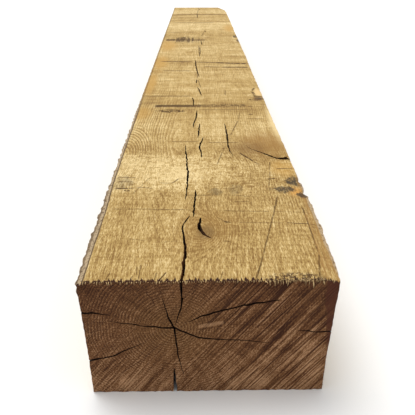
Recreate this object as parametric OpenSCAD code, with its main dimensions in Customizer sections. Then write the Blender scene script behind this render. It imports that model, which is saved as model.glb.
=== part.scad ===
// Railway sleeper: one baulk of sawn oak, with a little wane on its two upper arrises and the open
// splits that come as it dries.
// Frame: the origin is under the middle of the underside, +Z is up and the length lies along Y.
// The front end, with the star of splits, is at -Y, and +X is to the right of someone who faces it.

/* [Baulk] */
// Length of the baulk
length = 2600; // [2500:50:3200]
// Width of the sawn section
width = 260; // [220:5:320]
// Height of the sawn section
height = 150; // [125:5:190]

/* [Wane] */
// Width of the right-hand wane at the front end
right_wane_w = 16; // [6:1:24]
// Drop of the right-hand wane at the front end
right_wane_h = 3; // [2:1:20]
// Length over which the right-hand wane dies out
right_wane_len = 230; // [100:10:600]
// Width of the left-hand wane at the front end
left_wane_w = 6; // [3:1:20]
// Drop of the left-hand wane at the front end
left_wane_h = 4; // [2:1:30]
// Length over which the left-hand wane dies out
left_wane_len = 700; // [200:10:1200]
// Width of the wane at the right-hand corner of the rear end
rear_wane_w = 28; // [3:1:40]
// Drop of the wane at the rear end
rear_wane_h = 12; // [2:1:30]
// Length over which the rear wane dies out
rear_wane_len = 220; // [50:10:600]

/* [Pith] */
// Pith, to the left of the middle of the width
pith_left = 36; // [20:1:45]
// Pith, above the underside
pith_up = 91; // [75:1:100]

/* [Splits] */
// Gape of the main split where it runs out at the front end
main_gape = 4; // [2:0.5:8]
// Depth of the main split below the top
main_depth = 24; // [10:1:30]
// Gape of the checks that follow it along the top
check_gape = 2; // [1:0.25:4]
// Depth of the checks below the top
check_depth = 22; // [5:1:30]
// Gape of the split beside the knot
knot_gape = 5; // [2:0.5:8]
// Gape of the side split where it runs out on the right-hand face
side_gape = 8; // [2:0.5:12]
// Depth of the side split below the top
side_depth = 40; // [10:1:60]
// Gape of the star of splits in the front end
star_gape = 2; // [1:0.25:4]
// Depth of the star behind the front end
star_depth = 45; // [10:1:120]
// Gape of the split where it runs out on the underside
foot_gape = 6; // [2:0.5:10]
// Depth of the underside split behind the front end
foot_depth = 120; // [20:5:300]

/* [Hidden] */
oak = [0.70, 0.56, 0.34];
// How far a cutter stands out of the face that it opens
over = 2;
front = -length / 2;
half = width / 2;

// Routes seen from above, as [across from the pith, along from the front end].
main_route = [[9, -over], [10, 20], [12, 66], [10, 84], [7, 106], [9, 124], [16, 144]];
check_routes = [
    [[20, 139], [21, 168], [23, 204], [22, 222]],
    [[10, 189], [11, 255], [11, 286], [8, 314], [9, 333], [7, 355], [5, 402]],
    [[32, 343], [31, 362], [29, 385], [29, 406], [33, 422], [35, 442]],
    [[76, 521], [77, 476], [77, 444], [76, 409], [77, 376], [82, 350]],
    [[26, 440], [28, 486], [29, 522]],
    [[17, 496], [19, 532], [23, 565], [24, 612]],
    [[17, 644], [17, 681], [14, 711]],
    [[34, 728], [29, 780], [25, 810]],
    [[22, 850], [23, 868], [22, 886]],
    [[30, 914], [25, 981], [20, 1062], [19, 1136]],
    [[32, 1190], [34, 1288], [33, 1365]],
    [[41, 1395], [39, 1444], [37, 1492]],
    [[56, 1690], [55, 1717], [54, 1745]],
    [[24, 2146], [25, 2218], [26, 2290]],
    [[37, 2475], [34, 2525], [31, 2570]]
];
knot_route = [[29, 138], [27, 120], [29, 106], [33, 97], [41, 88]];
// This route is [in from the right-hand face, along from the front end].
side_route = [[-over, 341], [5, 338], [17, 340], [33, 360], [53, 380], [63, 405]];

// Routes in the front end, as [across, up] from the pith.
star_routes = [
    [[0, 0], [-6, 16], [-11, 39]],
    [[0, 0], [1, -21], [3, -36], [9, -66]],
    [[0, 0], [-24, 2], [-48, 6], [-68, 10]],
    [[0, 0], [26, -14], [44, -16], [67, -17], [105, -22]]
];
// This one runs down from the main split and dies out just above the pith.
branch_route = [[9, 39], [8, 27], [4, 13], [1, 4]];
// A split that starts away from the pith.
lone_route = [[15, 7], [28, 15], [70, 28], [110, 35]];
// Routes in the front end, as [in from a side face, up from the pith].
left_routes = [
    [[-over, -45], [30, -36], [62, -19]],
    [[-over, 21], [17, 20], [29, 17]]
];
right_routes = [
    [[-over, -7], [17, -7], [36, -5]]
];
// A route in the front end, as [across from the pith, up from the underside].
foot_route = [[-1, -over], [-1, 8], [-2, 36]];

// Share of the full gape at a share t of the route, which is open at its start or shut at both ends.
function gape_at(t, open) = open ? 1 - t : sin(180 * t);

// Unit vector across a route at point i.
function across(route, i) =
    let (a = route[max(i - 1, 0)], b = route[min(i + 1, len(route) - 1)], d = b - a)
    [-d.y, d.x] / norm(d);

// One lip of a split: the route moved sideways by half its gape.
function lip(route, gape, open, side) =
    [for (i = [0 : len(route) - 1])
        let (t = i / (len(route) - 1))
        route[i] + side * across(route, i) * gape * gape_at(t, open) / 2];

// The plan of a split, from one lip round to the other. A shut end is one point.
module split_plan(route, gape, open = false) {
    first = open ? 0 : 1;
    near = lip(route, gape, open, 1);
    far = lip(route, gape, open, -1);
    polygon(concat(
        [for (i = [0 : len(route) - 1]) near[i]],
        [for (i = [len(route) - 2 : -1 : first]) far[i]]));
}

// A split that opens upwards through the top.
module top_split(route, gape, depth, open = false) {
    translate([0, front, height - depth])
        linear_extrude(depth + over)
            split_plan(route, gape, open);
}

// A split that opens through the front end. Its plan is drawn across and up.
module end_split(depth) {
    translate([0, front + depth, 0])
        rotate([90, 0, 0])
            linear_extrude(depth + over)
                children();
}

// The corner of the log that the saw missed: a long thin wedge off an upper arris. It comes in from
// the side by w, goes down by h at the end of the baulk, and runs out to nothing along the arris.
module wane(w, h, run) {
    corner = [half, front, height];
    // The fourth point stands clear of the timber, so that the wedge leaves no skin.
    polyhedron(
        points = [
            corner - [w, 0, 0],
            corner - [0, 0, h],
            corner + [0, run, 0],
            corner + [over, -over, over]
        ],
        faces = [[0, 2, 1], [0, 1, 3], [1, 2, 3], [2, 0, 3]]);
}

module sleeper() {
    color(oak)
        difference() {
            translate([-half, front, 0])
                cube([width, length, height]);
            wane(right_wane_w, right_wane_h, right_wane_len);
            mirror([1, 0, 0])
                wane(left_wane_w, left_wane_h, left_wane_len);
            mirror([0, 1, 0])
                wane(rear_wane_w, rear_wane_h, rear_wane_len);
            translate([-pith_left, 0, 0]) {
                top_split(main_route, main_gape, main_depth, open = true);
                for (route = check_routes)
                    top_split(route, check_gape, check_depth);
                top_split(knot_route, knot_gape, check_depth);
            }
            translate([half, 0, 0])
                mirror([1, 0, 0])
                    top_split(side_route, side_gape, side_depth, open = true);
            end_split(star_depth) {
                translate([-pith_left, pith_up]) {
                    for (route = star_routes)
                        split_plan(route, star_gape, open = true);
                    split_plan(branch_route, star_gape, open = true);
                    split_plan(lone_route, star_gape);
                }
                translate([-half, pith_up])
                    for (route = left_routes)
                        split_plan(route, star_gape, open = true);
                translate([half, pith_up])
                    mirror([1, 0])
                        for (route = right_routes)
                            split_plan(route, star_gape, open = true);
            }
            end_split(foot_depth)
                translate([-pith_left, 0])
                    split_plan(foot_route, foot_gape, open = true);
        }
}

sleeper();
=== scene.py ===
import math
from itertools import product

import bmesh
import bpy
import numpy as np
from mathutils import Euler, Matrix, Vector
from mathutils.geometry import delaunay_2d_cdt


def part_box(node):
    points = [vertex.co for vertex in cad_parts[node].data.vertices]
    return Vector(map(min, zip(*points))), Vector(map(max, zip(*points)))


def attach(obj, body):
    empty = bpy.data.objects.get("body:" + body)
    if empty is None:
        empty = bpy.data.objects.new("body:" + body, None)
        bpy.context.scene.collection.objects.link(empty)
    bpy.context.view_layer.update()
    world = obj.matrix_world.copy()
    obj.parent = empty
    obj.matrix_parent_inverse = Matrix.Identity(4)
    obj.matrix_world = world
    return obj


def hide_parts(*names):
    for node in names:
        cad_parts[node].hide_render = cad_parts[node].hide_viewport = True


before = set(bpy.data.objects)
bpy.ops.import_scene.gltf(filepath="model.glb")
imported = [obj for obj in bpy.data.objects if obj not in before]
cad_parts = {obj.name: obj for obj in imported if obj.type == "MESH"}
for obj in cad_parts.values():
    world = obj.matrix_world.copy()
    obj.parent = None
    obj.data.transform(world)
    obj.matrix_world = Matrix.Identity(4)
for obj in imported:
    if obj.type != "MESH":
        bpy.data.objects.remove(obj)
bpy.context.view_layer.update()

bl_info = {
    "name": "Oak railway sleeper",
    "version": (1, 0, 0),
    "blender": (4, 5, 0),
    "location": "View3D > Sidebar > Sleeper",
    "description": "Builds a sawn oak sleeper with its splits, knots, stains and torn arrises",
    "category": "Object",
}

# Places on the timber are in millimetres: across from its middle, along from its front end, up from
# its underside. Blender's own places are in metres, so they are turned into these at the edges.
MM = 0.001
LOW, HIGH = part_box("sleeper")
FRONT = LOW.y / MM
WIDTH, LENGTH, HEIGHT = (HIGH - LOW) / MM
HALF = WIDTH / 2
ACROSS, ALONG, UP = 0, 1, 2
# The pith at the front end: left of the timber's middle, and up from its underside.
PITH_LEFT, PITH_UP = 36, 91

# Splits seen from above. Each route's points are across from the pith, and along.
MAIN_ROUTE = [(9, -2), (10, 20), (12, 66), (10, 84), (7, 106), (9, 124), (16, 144)]
CHECK_ROUTES = [
    [(20, 139), (21, 168), (23, 204), (22, 222)],
    [(10, 189), (11, 255), (11, 286), (8, 314), (9, 333), (7, 355), (5, 402)],
    [(32, 343), (31, 362), (29, 385), (29, 406), (33, 422), (35, 442)],
    [(76, 521), (77, 476), (77, 444), (76, 409), (77, 376), (82, 350)],
    [(26, 440), (28, 486), (29, 522)],
    [(17, 496), (19, 532), (23, 565), (24, 612)],
    [(17, 644), (17, 681), (14, 711)],
    [(34, 728), (29, 780), (25, 810)],
    [(22, 850), (23, 868), (22, 886)],
    [(30, 914), (25, 981), (20, 1062), (19, 1136)],
    [(32, 1190), (34, 1288), (33, 1365)],
    [(41, 1395), (39, 1444), (37, 1492)],
    [(56, 1690), (55, 1717), (54, 1745)],
    [(24, 2146), (25, 2218), (26, 2290)],
    [(37, 2475), (34, 2525), (31, 2570)],
]
KNOT_ROUTE = [(29, 138), (27, 120), (29, 106), (33, 97), (41, 88)]
# In from the right side, and along.
SIDE_ROUTE = [(-2, 341), (5, 338), (17, 340), (33, 360), (53, 380), (63, 405)]
# Splits in the front end. Each route's points are across from the pith, and up from it.
STAR_ROUTES = [
    [(0, 0), (-6, 16), (-11, 39)],
    [(0, 0), (1, -21), (3, -36), (9, -66)],
    [(0, 0), (-24, 2), (-48, 6), (-68, 10)],
    [(0, 0), (26, -14), (44, -16), (67, -17), (105, -22)],
]
BRANCH_ROUTE = [(9, 39), (8, 27), (4, 13), (1, 4)]
LONE_ROUTE = [(15, 7), (28, 15), (70, 28), (110, 35)]
# In from a side, and up from the pith.
LEFT_ROUTES = [[(-2, -45), (30, -36), (62, -19)], [(-2, 21), (17, 20), (29, 17)]]
RIGHT_ROUTES = [[(-2, -7), (17, -7), (36, -5)]]
# Across from the pith, and up from the underside.
FOOT_ROUTE = [(-1, -2), (-1, 8), (-2, 36)]
# How deep the splits go.
MAIN_DEPTH, CHECK_DEPTH, SIDE_DEPTH, STAR_DEPTH, FOOT_DEPTH = 26, 22, 40, 45, 120

# Wane: the hand and the end it is at, its width and drop there, and the length it dies out over.
WANES = [(1, 0, 16, 3, 230), (-1, 0, 6, 4, 700), (1, 1, 28, 12, 220)]

# Where a limb grew through the top: across, along, its spread each way, and how far it pulls the
# rings in.
LIMBS = [
    (-4, 103, 27, 40, 34),
    (118, 770, 16, 55, 26),
    (-138, 352, 46, 74, -40),
    (60, 300, 40, 60, 14),
]

# How light the top is along its length, from 0 to 1: the wood's own tone, with painted light that makes
# the far part brighter.
LIGHT_AND_TONE_LEVELS = [
    (0, 0.42), (205, 0.40), (240, 0.46), (268, 0.61), (318, 0.60), (345, 0.46), (382, 0.38),
    (430, 0.48), (465, 0.57), (575, 0.56), (620, 0.38), (665, 0.42), (715, 0.53), (1010, 0.52),
    (1110, 0.46), (1210, 0.58), (1430, 0.55), (1560, 0.44), (1660, 0.46), (1720, 0.62),
    (1790, 0.72), (1960, 0.72), (2020, 0.42), (2090, 0.54), (2230, 0.52), (2280, 0.34),
    (2330, 0.74), (2450, 0.72), (2520, 0.56), (2600, 0.46),
]

# Fine lines on the top, from the saw, from handling and from its finest splits: start, end, half
# width and strength.
TOP_MARKS = [
    ((-126, 164), (-14, 159), 1.5, 0.70),
    ((11, 157), (83, 153), 1.4, 0.60),
    ((83, 153), (131, 150), 1.2, 0.40),
    ((36, 125), (94, 123), 1.3, 0.50),
    ((94, 123), (133, 119), 1.6, 0.85),
    ((-91, 87), (-70, 82), 1.2, 0.60),
    ((-50, 78), (-32, 81), 1.2, 0.45),
    ((98, 205), (49, 5), 1.3, 0.75),
    ((54, 28), (48, 4), 1.2, 0.90),
    ((-28, 203), (13, 203), 1.5, 0.75),
    ((31, 204), (61, 198), 1.5, 0.60),
    ((36, 183), (59, 182), 1.4, 0.60),
    ((59, 182), (59, 171), 1.0, 0.50),
    ((-66, 246), (-44, 245), 1.6, 0.55),
    ((-40, 262), (-16, 262), 1.6, 0.50),
    ((-38, 260), (-47, 244), 1.8, 0.75),
    ((-57, 420), (-6, 419), 2.6, 0.60),
    ((4, 415), (61, 414), 2.6, 0.60),
    ((74, 595), (67, 541), 1.4, 0.55),
    ((67, 541), (46, 447), 1.6, 0.75),
    ((35, 397), (18, 310), 1.6, 0.60),
    ((56, 366), (84, 311), 2.1, 1.00),
    ((101, 325), (96, 289), 1.6, 0.65),
    ((97, 289), (88, 230), 1.4, 0.50),
    ((96, 201), (86, 160), 1.1, 0.65),
    ((105, 296), (133, 296), 2.6, 0.75),
    ((89, 258), (101, 259), 2.8, 0.85),
    ((-130, 268), (-99, 267), 2.2, 0.65),
    ((-126, 251), (-102, 250), 2.2, 0.65),
    ((-126, 229), (-98, 228), 3.2, 0.90),
    ((-112, 222), (-103, 220), 3.0, 0.90),
    ((-97, 232), (-72, 227), 1.6, 0.60),
    ((-77, 271), (-100, 205), 1.6, 0.40),
    ((-70, 33), (-70, 3), 0.8, 0.80),
    ((-74, 28), (-73, 12), 0.8, 0.50),
    ((-43, 17), (-49, 3), 1.1, 0.95),
    ((-53, 17), (-54, 3), 0.8, 0.75),
    ((-100, 18), (-103, 4), 0.8, 0.65),
    ((-76, 12), (-79, 3), 0.8, 0.60),
    ((12, 2), (15, 18), 0.8, 0.65),
    ((112, 5), (121, 52), 1.5, 0.95),
    ((121, 52), (123, 170), 1.4, 0.85),
    ((21, 127), (30, 124), 2.2, 0.95),
    ((18, 80), (26, 79), 1.6, 0.65),
    ((13, 138), (26, 122), 1.3, 0.60),
    ((-129, 671), (-90, 670), 3.5, 0.50),
    ((-136, 727), (-22, 725), 4.5, 0.80),
    ((-6, 615), (96, 613), 4.0, 0.55),
    ((85, 551), (119, 550), 3.5, 0.45),
    ((94, 639), (104, 639), 4.0, 0.80),
    ((90, 580), (99, 580), 4.0, 0.80),
    ((-119, 1118), (-22, 1110), 8.0, 0.80),
    ((-22, 1110), (56, 1096), 8.0, 0.80),
    ((40, 1098), (134, 1082), 11.0, 1.00),
    ((6, 1045), (53, 1035), 7.0, 0.60),
    ((53, 1035), (132, 1033), 9.0, 0.90),
    ((-105, 991), (-25, 989), 7.0, 0.60),
    ((53, 776), (51, 731), 2.0, 0.65),
    ((122, 800), (115, 768), 3.5, 0.90),
    ((115, 768), (117, 712), 4.0, 0.95),
    ((117, 722), (134, 716), 7.0, 0.95),
    ((100, 694), (121, 684), 6.0, 0.90),
    ((-123, 1505), (22, 1503), 14.0, 0.80),
    ((-123, 1507), (-88, 1506), 24.0, 0.90),
    ((-122, 1690), (-10, 1690), 12.0, 0.35),
    ((-125, 1973), (70, 1973), 16.0, 0.50),
    ((-128, 2285), (125, 2285), 20.0, 0.60),
    ((-4, 2513), (-15, 2258), 3.0, 0.60),
    ((-15, 2258), (-8, 2172), 3.0, 0.60),
    ((16, 1712), (4, 1585), 3.0, 0.60),
    ((-7, 1398), (-5, 1216), 2.6, 0.60),
    ((-16, 1137), (-10, 888), 2.2, 0.60),
    ((-10, 888), (-3, 799), 2.0, 0.60),
]

# Fine cracks in the front end, told the same way but up from the underside.
END_MARKS = [
    ((-68, 147), (-54, 121), 1.0, 0.65),
    ((-131, 85), (-103, 91), 0.9, 0.50),
    ((-114, 15), (-97, 28), 0.8, 0.35),
    ((-97, 28), (-71, 49), 0.9, 0.60),
    ((-71, 49), (-50, 71), 0.9, 0.60),
    ((69, 63), (88, 61), 0.8, 0.50),
    ((19, 95), (73, 93), 0.8, 0.40),
    ((-13, 88), (14, 93), 0.8, 0.55),
    ((-14, 94), (12, 102), 0.8, 0.55),
]

# The saw crossed both ends at this slant from the level.
SAW_SLANT = math.radians(52)


def length_setting(name, description, default):
    """A size that a user can change, in metres."""
    return bpy.props.FloatProperty(
        name=name, description=description, default=default, min=0, unit="LENGTH", precision=4)


def colour_setting(name, description, shade):
    """A colour that a user can change. The shade is red, green and blue from 0 to 255."""
    return bpy.props.FloatVectorProperty(
        name=name, description=description, default=[linear(part) for part in shade],
        subtype="COLOR", size=3, min=0, max=1)


def linear(part):
    """One display value from 0 to 255 as an amount of light."""
    return ((part / 255 + 0.055) / 1.055) ** 2.4


class SleeperSizes(bpy.types.PropertyGroup):
    """Sizes of the sawn surface, the splits and the torn fibres."""

    ring_width: length_setting("Ring width", "Mean width of one year's growth", 0.0042)
    saw_ridge: length_setting("Saw ridge", "Depth of the saw marks on the ends", 0.0005)
    waviness: length_setting("Waviness", "How far a sawn face wanders from flat", 0.0006)
    main_gape: length_setting("Main split", "Width of the main split at the front end", 0.0032)
    check_gape: length_setting("Drying check", "Width of a drying check", 0.0026)
    knot_gape: length_setting("Knot split", "Width of the split in the knot", 0.0045)
    side_gape: length_setting("Side split", "Width of the split in the right arris", 0.0095)
    star_gape: length_setting("End check", "Width of a split in the front end", 0.0021)
    foot_gape: length_setting("Foot split", "Width of the split at the foot of the end", 0.0045)
    splinter: length_setting("Splinter", "Length of the longest torn fibre", 0.0050)


class SleeperColours(bpy.types.PropertyGroup):
    """Colours of the oak, its stains and its bark, and the painted light and painted shade in its
    splits.
    """

    sawn_dark: colour_setting("Sawn, dark", "Dark grain of a sawn face", (136, 102, 52))
    sawn: colour_setting("Sawn", "Fresh sawn face", (190, 158, 96))
    sawn_pale: colour_setting("Sawn, pale", "Pale grain of a sawn face", (236, 210, 154))
    end_dark: colour_setting("End grain, dark", "Dark rings and saw marks of an end", (56, 28, 12))
    end: colour_setting("End grain", "Sawn end", (106, 69, 39))
    end_pale: colour_setting("End grain, pale", "Pale rays and ridges of an end", (174, 134, 98))
    end_red: colour_setting("End grain, red", "Wood under the bark, on an end", (76, 40, 25))
    heart: colour_setting("Heart", "Yellowish heart round the pith", (122, 92, 50))
    stain: colour_setting("Stain", "Brown mark left by a sticker", (82, 56, 20))
    blush: colour_setting("Blush", "Tanned wood beside the side split", (160, 120, 62))
    weathered: colour_setting("Weathered", "Grey dirt on a sawn face", (80, 66, 46))
    sapwood: colour_setting("Sapwood", "Tan wood beside the bark", (164, 122, 66))
    orange: colour_setting("Orange", "Fresh wood where a piece broke out", (216, 158, 78))
    amber: colour_setting("Amber", "Warmer wood along both sides", (198, 154, 80))
    knot: colour_setting("Knot", "Brown wood of the second knot", (122, 88, 46))
    bark: colour_setting("Bark", "Bark left on an arris", (186, 164, 132))
    bark_dark: colour_setting("Bark, dark", "Cracks in the bark", (84, 64, 42))
    # The lip and the inside of a split: painted light and painted shade on the split's wall.
    lit_split_lip: colour_setting("Lip of a split", "Wood just inside a split", (142, 98, 60))
    split: colour_setting("Inside of a split", "Shaded wood deep in a split", (34, 18, 8))
    fibre: colour_setting("Torn fibre", "Pale torn fibre", (222, 190, 136))
    fibre_dark: colour_setting("Torn fibre, dark", "Dirty torn fibre", (84, 54, 34))


class SleeperStage(bpy.types.PropertyGroup):
    """The floor and the light round the sleeper."""

    floor: colour_setting("Floor", "Pale studio floor", (245, 245, 244))
    overhead: bpy.props.FloatProperty(
        name="Overhead light", description="Strength of the wide light above", default=1.7, min=0)
    surround: bpy.props.FloatProperty(
        name="Surround", description="Strength of the even light all round", default=0.75, min=0)


# ---------------------------------------------------------------- mesh of the baulk


def noise(points, seed):
    """Smooth noise from 0 to 1 at each point, with one lump to a unit."""
    table = np.random.default_rng(seed).random((32, 32, 32))
    low = np.floor(points).astype(int)
    part = points - low
    part = part * part * (3 - 2 * part)
    total = np.zeros(len(points))
    for corner in product((0, 1), repeat=3):
        weight = np.prod(np.where(corner, part, 1 - part), axis=1)
        total += weight * table[tuple(((low + corner) % 32).T)]
    return total


def lumps(points, across, along, up, seed):
    """Noise with lumps of about this many millimetres each way."""
    return noise(points / (across, along, up), seed)


def rise(value, low, high):
    """0 below low, 1 above high and smooth between them. It falls where low is above high."""
    share = np.clip((value - low) / (high - low), 0, 1)
    return share * share * (3 - 2 * share)


def spaced(length, step):
    """Places from 0 to length, where step(place) says how far on the next one is."""
    places = [0.0]
    while places[-1] < length:
        places.append(places[-1] + step(places[-1]))
    return np.array(places) * (length / places[-1])


def arris_step(axis, fixed):
    """How far apart the points of an arris are, as a function of the place along it."""
    if axis == ALONG:
        return lambda place: 1.2 + 0.005 * place
    if fixed[ALONG] > 0:
        return lambda place: 4.0
    return lambda place: 0.9 if fixed[UP] > 0 else 1.4


def face_step(axis, side):
    """How far apart the points inside a face are, as a function of the place along it."""
    if axis == ALONG:
        return lambda place: 1.5 + 3.0 * side
    if axis == UP and side:
        return lambda place: 1.35 + 0.005 * place
    return lambda place: 3.0 + 0.009 * place


def scatter(width, length, step, seed):
    """Points that fill a rectangle in shaken rows, clear of its edges."""
    shake = np.random.default_rng(seed)
    rows = []
    for number, place in enumerate(spaced(length, lambda at: 0.87 * step(at))):
        gap = step(place)
        count = max(round(width / gap), 2)
        row = (np.arange(count) + 0.25 + 0.5 * (number % 2)) * (width / count)
        row = np.stack([row, np.full(count, place)], 1)
        row += shake.uniform(-0.22, 0.22, row.shape) * gap
        inside = (row > 0.45 * gap).all(1) & (row < (width, length) - np.float64(0.45 * gap)).all(1)
        rows.append(row[inside])
    return np.concatenate(rows)


def plain_skin():
    """The baulk's six faces as one closed mesh of triangles, finest at the front end."""
    size = np.array((WIDTH, LENGTH, HEIGHT))
    corners = list(product((0, 1), repeat=3))
    points = [np.array([bits * size for bits in corners])]
    arrises = {}
    count = len(corners)
    for axis, bits in product((ACROSS, ALONG, UP), corners):
        if bits[axis]:
            continue
        places = spaced(size[axis], arris_step(axis, bits))[1:-1]
        run = np.tile(bits * size, (len(places), 1)).astype(float)
        run[:, axis] = places
        points.append(run)
        end = tuple(1 if at == axis else bit for at, bit in enumerate(bits))
        between = list(range(count, count + len(places)))
        arrises[bits, end] = [corners.index(bits)] + between + [corners.index(end)]
        count += len(places)
    triangles = []
    for axis, side in product((ACROSS, ALONG, UP), (0, 1)):
        rim = face_rim(arrises, axis, side)
        inner, faces = filled(np.concatenate(points)[rim], size, axis, side)
        own = np.array(rim + list(range(count, count + len(inner))))
        triangles.append(own[faces])
        points.append(inner)
        count += len(inner)
    points = np.concatenate(points)
    points[:, ACROSS] -= HALF
    return points, np.concatenate(triangles)


def face_rim(arrises, axis, side):
    """The numbers of the points round a face. The face is at one side of the baulk, square to the
    axis."""
    corners = {}
    for first, second in product((0, 1), repeat=2):
        bits = [first, second]
        bits.insert(axis, side)
        corners[first, second] = tuple(bits)
    rim = arrises[corners[0, 0], corners[1, 0]][:-1]
    rim += arrises[corners[1, 0], corners[1, 1]][:-1]
    rim += arrises[corners[0, 1], corners[1, 1]][:0:-1]
    rim += arrises[corners[0, 0], corners[0, 1]][:0:-1]
    return rim


def filled(rim, size, axis, side):
    """The points inside a face, and its triangles. They number the rim's points first and then
    the points inside."""
    one, two = [other for other in (ACROSS, ALONG, UP) if other != axis]
    across, along = (two, one) if axis == ACROSS else (one, two)
    inner = scatter(size[across], size[along], face_step(axis, side), seed=10 + 2 * axis + side)
    if axis == ACROSS:
        inner = inner[:, ::-1]
    places = np.full((len(inner), 3), side * size[axis], float)
    places[:, [one, two]] = inner
    edges = [(at, (at + 1) % len(rim)) for at in range(len(rim))]
    flat = [Vector(place) for place in np.concatenate([rim[:, [one, two]], inner])]
    _, _, cells, origins, _, _ = delaunay_2d_cdt(flat, edges, [], 1, 1e-5)
    faces = np.array([[origins[at][0] for at in cell] for cell in cells])
    faces_out = (axis != ALONG) == bool(side)
    return places, faces if faces_out else faces[:, ::-1]


def saw_ridges(points):
    """The slanting saw marks of an end, from 0 in a groove to 1 on a ridge."""
    across, up = points[:, ACROSS], points[:, UP]
    bend = 12 * noise(np.stack([across / 110, up / 110, 0 * up], 1), 31)
    off = across * math.sin(SAW_SLANT) - up * math.cos(SAW_SLANT) + bend
    run = across * math.cos(SAW_SLANT) + up * math.sin(SAW_SLANT)
    broad = noise(np.stack([off / 9, run / 300, 0 * up], 1), 32)
    fine = noise(np.stack([off / 4, run / 160, 0 * up], 1), 33)
    groove = rise(np.abs(broad - 0.5), 0, 0.12)
    strong = 0.3 + 0.7 * np.maximum(rise(across, -30, 30), 0.5 * rise(up, 70, 20))
    return np.clip(0.5 + strong * (0.5 * broad + 0.4 * fine + 0.5 * groove - 0.85), 0, 1)


def tear(points):
    """How badly the saw tore the front end's upper arris, from 0 to 1."""
    across = points[:, ACROSS]
    return 0.3 + 0.7 * rise(across, 50, 62) * rise(across, 122, 112)


def top_relief(points, sizes):
    """How far the top stands off its plane."""
    across, along = points[:, ACROSS], points[:, ALONG]
    height = -sizes.waviness / MM * lumps(points, 70, 260, 70, 41)
    height -= 0.3 * lumps(points, 140, 7, 50, 42)
    rough = rise(along, 196, 214) * rise(along, 376, 350)
    height -= 0.9 * rough * lumps(points, 9, 5, 9, 43)
    # The two knots stand in shallow dishes.
    away = np.hypot(across + 3, (along - 103) / 1.25)
    height -= 1.8 * np.exp(-((away / 13) ** 2))
    height += 0.12 * np.cos(away / 1.3) * np.exp(-((away / 34) ** 2))
    second = np.hypot(across - 116, (along - 775) / 3)
    height -= 1.5 * np.exp(-((second / 9) ** 2))
    # Notches in the torn arris, and rough bark and edges.
    height -= 3.4 * tear(points) * np.exp(-along / 4) * lumps(points, 2.2, 6, 9, 44)
    height -= 1.3 * bark_strip(points) * lumps(points, 2.5, 3.5, 9, 46)
    height -= 1.0 * np.exp(-(HALF - np.abs(across)) / 1.5) * lumps(points, 9, 8, 9, 45)
    return height


def bark_strip(points):
    """1 on the strip of bark along the top's left arris and 0 off it."""
    across, along = points[:, ACROSS], points[:, ALONG]
    return rise(HALF + across, 5, 3) * rise(along, 560, 200)


def front_relief(points, sizes):
    """How far the front end stands off its plane."""
    up = points[:, UP]
    depth = sizes.saw_ridge / MM * (saw_ridges(points) - 1)
    depth -= 2.4 * tear(points) * np.exp(-(HEIGHT - up) / 2.5) * lumps(points, 1.6, 9, 2.5, 51)
    depth -= 1.2 * np.exp(-up / 1.5) * lumps(points, 4, 9, 4, 52)
    return depth


def rear_relief(points, sizes):
    """How far the rear end stands off its plane."""
    return sizes.saw_ridge / MM * (saw_ridges(points * (-1, 1, 1)) - 1)


def side_relief(points, sizes):
    """How far a side stands off its plane. Bark clings to it near the top."""
    across, along, up = points.T
    out = -sizes.waviness / MM * lumps(points, 70, 300, 60, 61)
    out -= 0.35 * lumps(points, 70, 9, 160, 62)
    high = rise(up, HEIGHT - 34, HEIGHT - 6)
    crumbs = np.maximum(lumps(points, 6, 6, 6, 63) - 0.4, 0)
    left = 5.5 * crumbs * rise(along, 760, 560) + 1.5 * np.exp(-(((along - 8) / 6) ** 2))
    bulge = rise(along, -50, 60) * rise(along, 296, 225)
    right = bulge * (0.4 + 3.0 * lumps(points, 30, 60, 30, 64) + 2.5 * crumbs)
    right += 3.5 * np.maximum(lumps(points, 40, 70, 40, 66) - 0.45, 0) * rise(along, 1000, 1500)
    # The saw broke a piece out of the right-hand arris here.
    chip = np.exp(-(((along - 212) / 7) ** 2)) + 0.6 * np.exp(-(((along - 250) / 6) ** 2))
    right -= 6.0 * chip * rise(up, HEIGHT - 18, HEIGHT - 4)
    out += high * np.where(across < 0, left, right)
    # The sides lean out a little to the top, and the right one leans in at its foot.
    out += (3.8 + 2.0 * lumps(points, 90, 240, 90, 68)) * rise(up, 30, 140) * rise(along, -40, 60)
    out -= 2.2 * (across > 0) * rise(up, 90, 0) * rise(along, 500, 0)
    out -= 1.2 * np.exp(-(HEIGHT - up) / 2) * lumps(points, 8, 14, 8, 65)
    out -= 0.7 * np.exp(-along / 3) * lumps(points, 8, 14, 5, 67)
    return out


def underside_relief(points, sizes):
    """How far the underside stands off its plane."""
    return -0.5 * sizes.waviness / MM * lumps(points, 80, 300, 80, 71)


def wane(points):
    """The height of the top over its full height, where the log's round corners were left on."""
    uneven = 0.75 + 0.5 * lumps(points, 60, 30, 400, 81)
    drop = 0
    for hand, end, width, deep, run in WANES:
        from_end = np.abs(points[:, ALONG] - end * LENGTH)
        share = np.clip(1 - from_end / run, 0, 1)
        # How far in the point is: 0 at the wane's inner edge and 1 at the side.
        beside = HALF - hand * points[:, ACROSS]
        inside = np.clip(1 - beside / np.maximum(width * share * uneven, 0.01), 0, 1)
        drop = drop + deep * share * inside**1.2
    return 1 - drop / HEIGHT


def sawn_skin(sizes):
    """The closed mesh of the baulk with the relief of each face, and its places before that."""
    plain, triangles = plain_skin()
    reliefs = [
        (ACROSS, 0, -HALF, side_relief),
        (ACROSS, 1, HALF, side_relief),
        (ALONG, 0, 0, front_relief),
        (ALONG, 1, LENGTH, rear_relief),
        (UP, 0, 0, underside_relief),
        (UP, 1, HEIGHT, top_relief),
    ]
    points = plain.copy()
    for axis, side, place, relief in reliefs:
        here = np.abs(plain[:, axis] - place) < 1e-6
        points[here, axis] += (2 * side - 1) * relief(plain[here], sizes)
    points[:, UP] *= wane(plain)
    return points, triangles, plain


# ---------------------------------------------------------------- splits


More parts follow.
